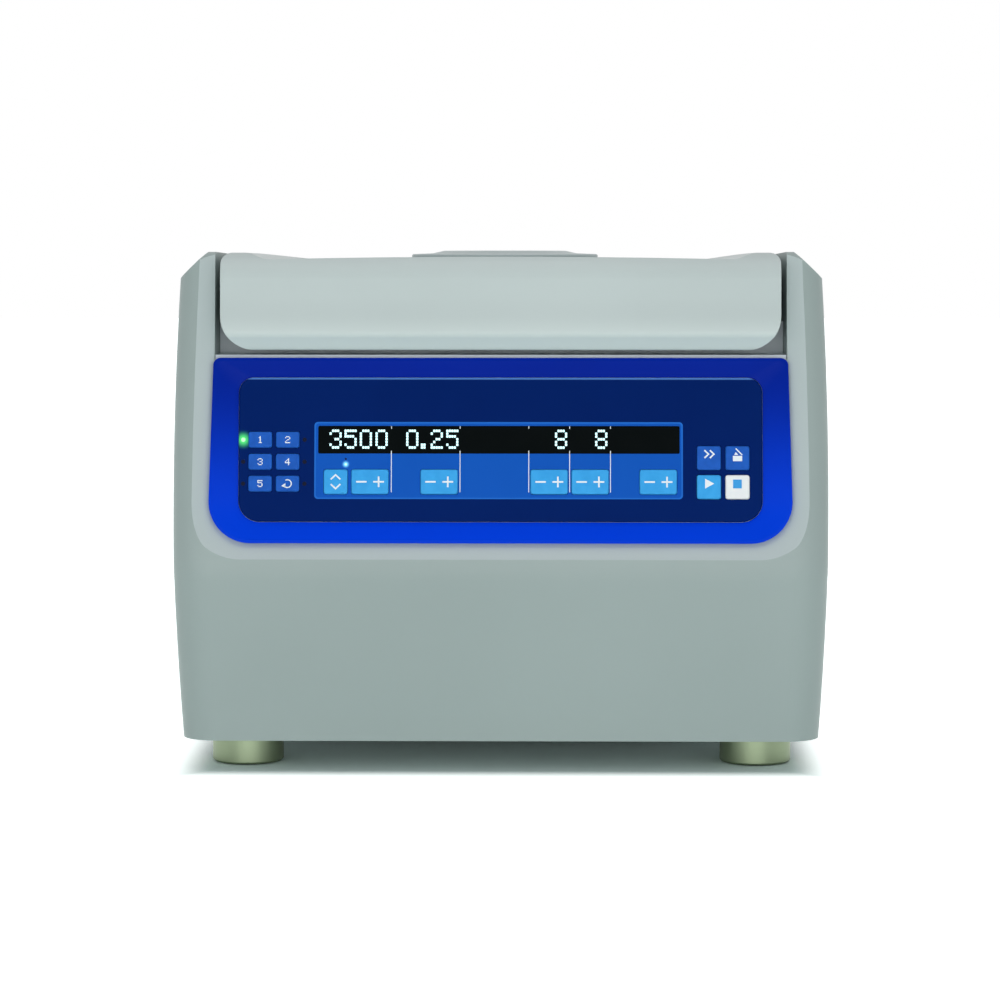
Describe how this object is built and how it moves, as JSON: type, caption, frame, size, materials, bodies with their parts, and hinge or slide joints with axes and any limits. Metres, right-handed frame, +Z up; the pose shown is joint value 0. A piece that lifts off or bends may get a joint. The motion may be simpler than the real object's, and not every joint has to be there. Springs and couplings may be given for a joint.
{
  "type": "benchtop centrifuge",
  "caption": "Benchtop centrifuge with a rear-hinged lid, leaning keypad panel, metal feet and a swing-out rotor inside.",
  "frame": {"origin": "on the bench, below the middle of the casing", "axes": "+X to the right seen from the front, the front faces -Y, +Z up"},
  "size_m": [0.4401, 0.6045, 0.3491],
  "materials": {
    "casing_grey": "fine moulded satin",
    "lid_trim": "satin",
    "bezel_blue": "gloss",
    "keypad_navy": "gloss film",
    "display_black": "gloss",
    "key_dark_blue": "satin film",
    "key_light_blue": "satin film",
    "key_white": "satin film",
    "light_pipe": "clear",
    "foot_metal": "satin turned",
    "rubber_black": "matt",
    "plated_steel": "zinc plate",
    "stainless": "brushed",
    "rod_chrome": "polished",
    "black_paint": "satin black",
    "rotor_alloy": "hard anodised",
    "bucket_alloy": "satin anodised",
    "button_red": "satin",
    "clear_pane": "polished",
    "circuit_green": "solder mask",
    "black_plastic": "fine texture"
  },
  "bodies": {
    "housing": {"housing_shell": "casing_grey", "base_plate": "plated_steel", "rear_panel": "plated_steel", "power_inlet": "black_plastic", "switch_frame": "black_plastic", "feet": "foot_metal", "foot_pads": "rubber_black", "panel_bezel": "bezel_blue", "keypad_plate": "keypad_navy", "display_window": "display_black", "status_lights": "light_pipe", "control_board": "circuit_green", "deck": "casing_grey", "chamber_bowl": "stainless", "guard_ring": "plated_steel", "lid_seal": "rubber_black", "motor_housing": "black_paint", "motor_boot": "rubber_black", "motor_bracket": "plated_steel", "motor_dampers": "rubber_black", "power_board": "circuit_green", "lock_housings": "plated_steel", "hinge_brackets": "plated_steel", "housing_screws": "stainless"},
    "lid": {"lid_shell": "casing_grey", "lid_liner": "lid_trim", "viewport_bezel": "lid_trim", "viewport_window": "clear_pane", "lock_strikers": "stainless", "hinge_arms": "stainless", "lid_screws": "stainless"},
    "lock": {"lock_bar": "stainless"},
    "spring_cylinder": {"gas_spring_cylinder": "black_paint"},
    "spring_rod": {"gas_spring_rod": "rod_chrome"},
    "rotor": {"drive_shaft": "stainless", "rotor_cross": "rotor_alloy"},
    "rotor_button": {"rotor_button": "button_red"},
    "bucket_1": {"bucket_1": "bucket_alloy"},
    "bucket_2": {"bucket_2": "bucket_alloy"},
    "bucket_3": {"bucket_3": "bucket_alloy"},
    "bucket_4": {"bucket_4": "bucket_alloy"},
    "power_rocker": {"power_rocker": "black_plastic"},
    "program_key_1": {"program_key_1": "key_dark_blue"},
    "program_key_2": {"program_key_2": "key_dark_blue"},
    "program_key_3": {"program_key_3": "key_dark_blue"},
    "program_key_4": {"program_key_4": "key_dark_blue"},
    "program_key_5": {"program_key_5": "key_dark_blue"},
    "direction_key": {"direction_key": "key_dark_blue"},
    "mode_key": {"mode_key": "key_light_blue"},
    "speed_keys": {"speed_keys": "key_light_blue"},
    "time_keys": {"time_keys": "key_light_blue"},
    "acceleration_keys": {"acceleration_keys": "key_light_blue"},
    "deceleration_keys": {"deceleration_keys": "key_light_blue"},
    "bucket_type_keys": {"bucket_type_keys": "key_light_blue"},
    "pulse_key": {"pulse_key": "key_dark_blue"},
    "open_key": {"open_key": "key_dark_blue"},
    "start_key": {"start_key": "key_light_blue"},
    "stop_key": {"stop_key": "key_white"}
  },
  "joints": [
    {"name": "lid_hinge", "type": "hinge", "parent": "housing", "child": "lid", "pos_m": [0, 0.228, 0.317], "axis": [-1, 0, 0], "range_deg": [0, 75]},
    {"name": "lock_turn", "type": "hinge", "parent": "housing", "child": "lock", "pos_m": [0, -0.232, 0.258], "axis": [-1, 0, 0], "range_deg": [0, 50], "stiffness_Nm_per_rad": 0.08},
    {"name": "spring_tilt", "type": "hinge", "parent": "housing", "child": "spring_cylinder", "pos_m": [-0.176, 0.19, 0.07], "axis": [-1, 0, 0], "range_deg": [0, 7.1]},
    {"name": "spring_extend", "type": "slide", "parent": "spring_cylinder", "child": "spring_rod", "axis": [0, -0.094, 0.9956], "range_m": [0, 0.06743]},
    {"name": "rotor_spin", "type": "hinge", "parent": "housing", "child": "rotor", "pos_m": [0, -0.04, 0.25], "axis": [0, 0, 1], "continuous": true},
    {"name": "rotor_button_press", "type": "slide", "parent": "rotor", "child": "rotor_button", "axis": [0, 0, -1], "range_m": [0, 0.002], "stiffness_N_per_m": 800},
    {"name": "bucket_1_swing", "type": "hinge", "parent": "rotor", "child": "bucket_1", "pos_m": [0.075, -0.04, 0.25], "axis": [0, -1, 0], "range_deg": [0, 90]},
    {"name": "bucket_2_swing", "type": "hinge", "parent": "rotor", "child": "bucket_2", "pos_m": [0, 0.035, 0.25], "axis": [1, 0, 0], "range_deg": [0, 90]},
    {"name": "bucket_3_swing", "type": "hinge", "parent": "rotor", "child": "bucket_3", "pos_m": [-0.075, -0.04, 0.25], "axis": [0, 1, 0], "range_deg": [0, 90]},
    {"name": "bucket_4_swing", "type": "hinge", "parent": "rotor", "child": "bucket_4", "pos_m": [0, -0.115, 0.25], "axis": [-1, 0, 0], "range_deg": [0, 90]},
    {"name": "power_rocker_tilt", "type": "hinge", "parent": "housing", "child": "power_rocker", "pos_m": [0.15, 0.295, 0.092], "axis": [1, 0, 0], "range_deg": [-10, 10]},
    {"name": "program_key_1_press", "type": "slide", "parent": "housing", "child": "program_key_1", "axis": [0, 0.9903, -0.1392], "range_m": [0, 0.0008], "stiffness_N_per_m": 400},
    {"name": "program_key_2_press", "type": "slide", "parent": "housing", "child": "program_key_2", "axis": [0, 0.9903, -0.1392], "range_m": [0, 0.0008], "stiffness_N_per_m": 400},
    {"name": "program_key_3_press", "type": "slide", "parent": "housing", "child": "program_key_3", "axis": [0, 0.9903, -0.1392], "range_m": [0, 0.0008], "stiffness_N_per_m": 400},
    {"name": "program_key_4_press", "type": "slide", "parent": "housing", "child": "program_key_4", "axis": [0, 0.9903, -0.1392], "range_m": [0, 0.0008], "stiffness_N_per_m": 400},
    {"name": "program_key_5_press", "type": "slide", "parent": "housing", "child": "program_key_5", "axis": [0, 0.9903, -0.1392], "range_m": [0, 0.0008], "stiffness_N_per_m": 400},
    {"name": "direction_key_press", "type": "slide", "parent": "housing", "child": "direction_key", "axis": [0, 0.9903, -0.1392], "range_m": [0, 0.0008], "stiffness_N_per_m": 400},
    {"name": "mode_key_press", "type": "slide", "parent": "housing", "child": "mode_key", "axis": [0, 0.9903, -0.1392], "range_m": [0, 0.0008], "stiffness_N_per_m": 400},
    {"name": "speed_keys_rock", "type": "hinge", "parent": "housing", "child": "speed_keys", "pos_m": [-0.0868, -0.28743, 0.19593], "axis": [0, 0.1392, 0.9903], "range_deg": [-1.5, 1.5], "stiffness_Nm_per_rad": 0.1},
    {"name": "time_keys_rock", "type": "hinge", "parent": "housing", "child": "time_keys", "pos_m": [-0.0407, -0.28743, 0.19593], "axis": [0, 0.1392, 0.9903], "range_deg": [-1.5, 1.5], "stiffness_Nm_per_rad": 0.1},
    {"name": "acceleration_keys_rock", "type": "hinge", "parent": "housing", "child": "acceleration_keys", "pos_m": [0.0326, -0.28743, 0.19593], "axis": [0, 0.1392, 0.9903], "range_deg": [-1.5, 1.5], "stiffness_Nm_per_rad": 0.1},
    {"name": "deceleration_keys_rock", "type": "hinge", "parent": "housing", "child": "deceleration_keys", "pos_m": [0.0599, -0.28743, 0.19593], "axis": [0, 0.1392, 0.9903], "range_deg": [-1.5, 1.5], "stiffness_Nm_per_rad": 0.1},
    {"name": "bucket_type_keys_rock", "type": "hinge", "parent": "housing", "child": "bucket_type_keys", "pos_m": [0.1052, -0.28743, 0.19593], "axis": [0, 0.1392, 0.9903], "range_deg": [-1.5, 1.5], "stiffness_Nm_per_rad": 0.1},
    {"name": "pulse_key_press", "type": "slide", "parent": "housing", "child": "pulse_key", "axis": [0, 0.9903, -0.1392], "range_m": [0, 0.0008], "stiffness_N_per_m": 400},
    {"name": "open_key_press", "type": "slide", "parent": "housing", "child": "open_key", "axis": [0, 0.9903, -0.1392], "range_m": [0, 0.0008], "stiffness_N_per_m": 400},
    {"name": "start_key_press", "type": "slide", "parent": "housing", "child": "start_key", "axis": [0, 0.9903, -0.1392], "range_m": [0, 0.0008], "stiffness_N_per_m": 400},
    {"name": "stop_key_press", "type": "slide", "parent": "housing", "child": "stop_key", "axis": [0, 0.9903, -0.1392], "range_m": [0, 0.0008], "stiffness_N_per_m": 400}
  ],
  "couplings": [
    {"joint": "spring_tilt", "follows": "lid_hinge", "ratio": 0.094597},
    {"joint": "spring_extend", "follows": "lid_hinge", "m_per_rad": 0.051512}
  ]
}
